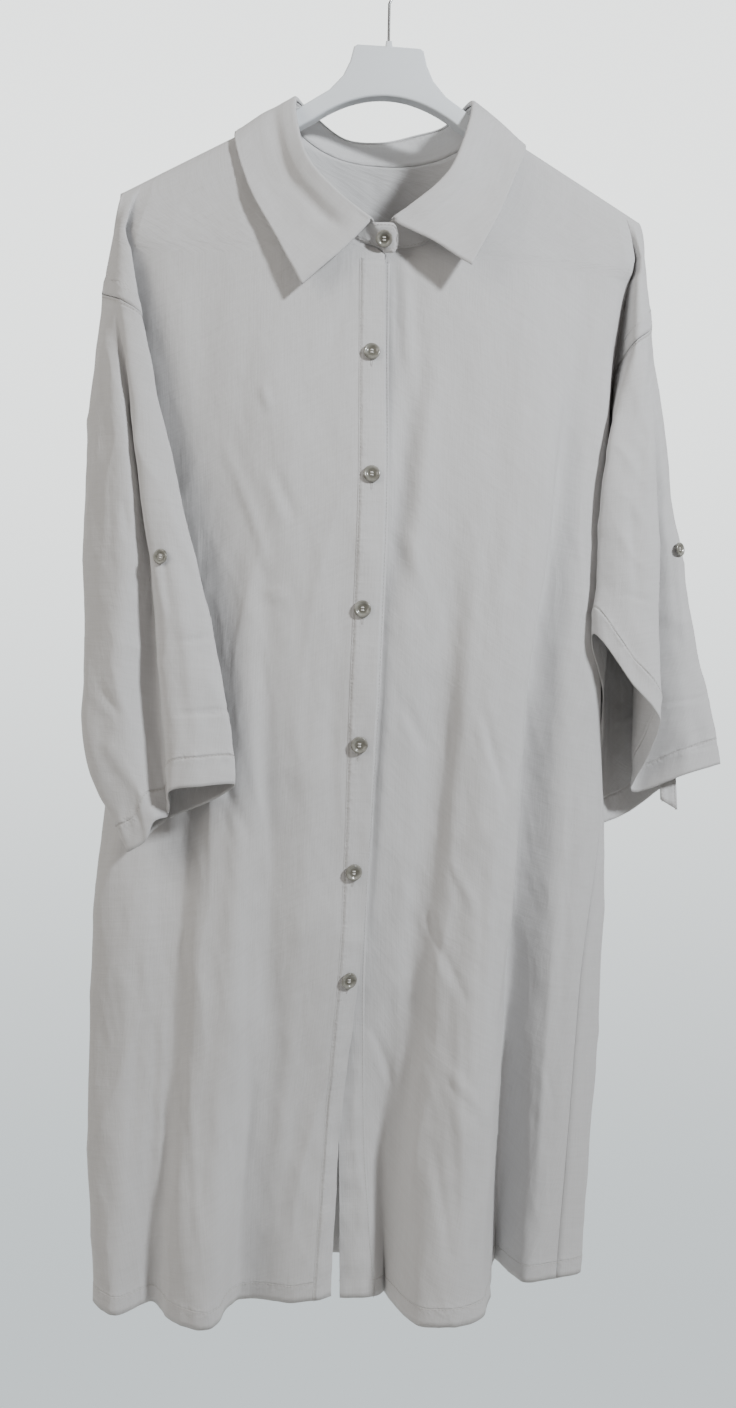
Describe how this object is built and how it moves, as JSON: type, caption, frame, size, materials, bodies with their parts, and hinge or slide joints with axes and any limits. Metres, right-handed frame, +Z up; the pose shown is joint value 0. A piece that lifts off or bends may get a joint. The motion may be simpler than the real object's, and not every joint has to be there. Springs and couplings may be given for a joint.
{
  "type": "long shirt on a hanger",
  "caption": "Long loose linen shirt with a button placket, turned-down collar and roll-up sleeves, hanging open-hemmed on a plastic hanger with a wire hook.",
  "frame": {"origin": "the inside top of the hook, where it rests on a rod", "axes": "+Z up, +X along the hanger towards the wearer's left arm, the front of the shirt faces -Y"},
  "size_m": [0.5611, 0.1857, 1.1984],
  "materials": {
    "linen": "plain-woven linen, matt",
    "button": "grey-brown dished buttons, soft shine",
    "plastic": "white moulded plastic, satin",
    "steel": "bright plated wire"
  },
  "bodies": {
    "root": {"front_left": "linen", "front_right": "linen", "back": "linen", "placket_under": "linen", "placket_top": "linen", "sleeve_left": "linen", "sleeve_right": "linen", "sleeve_strap": "linen", "collar_stand": "linen", "collar_fall": "linen", "button_front_1": "button", "button_front_2": "button", "button_front_3": "button", "button_front_4": "button", "button_front_5": "button", "button_front_6": "button", "button_collar": "button", "button_sleeve_left": "button", "button_sleeve_right": "button", "hanger_body": "plastic", "hanger_hook": "steel"}
  },
  "joints": []
}
